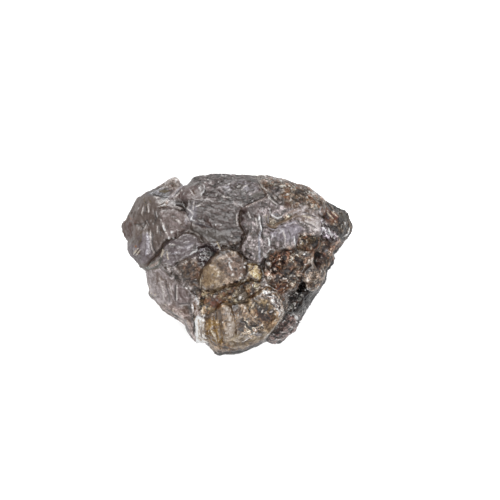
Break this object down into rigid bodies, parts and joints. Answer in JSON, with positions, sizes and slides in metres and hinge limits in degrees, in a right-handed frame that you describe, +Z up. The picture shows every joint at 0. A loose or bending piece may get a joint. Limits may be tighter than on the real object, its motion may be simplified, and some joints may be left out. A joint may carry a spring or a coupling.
{
  "type": "rough diamond",
  "caption": "Rough grey-brown diamond crystal, uncut, with overlapping lamellae, brown crust, a curved crack, amber lobes and flat cleavage faces below.",
  "frame": {"origin": "on the surface that the stone rests on, under the middle of its box", "axes": "+Z up, out of the stone's lamellar face; +X along its longest extent, towards the glossy tip; +Y towards its long, nearly straight edge"},
  "size_m": [0.009, 0.007, 0.0043],
  "materials": {
    "rough_diamond": "natural broken crystal: greasy adamantine lustre, translucent grey-lilac lamellae, brown iron-stained crust and amber lobes"
  },
  "bodies": {
    "root": {"rough_diamond": "rough_diamond"}
  },
  "joints": []
}
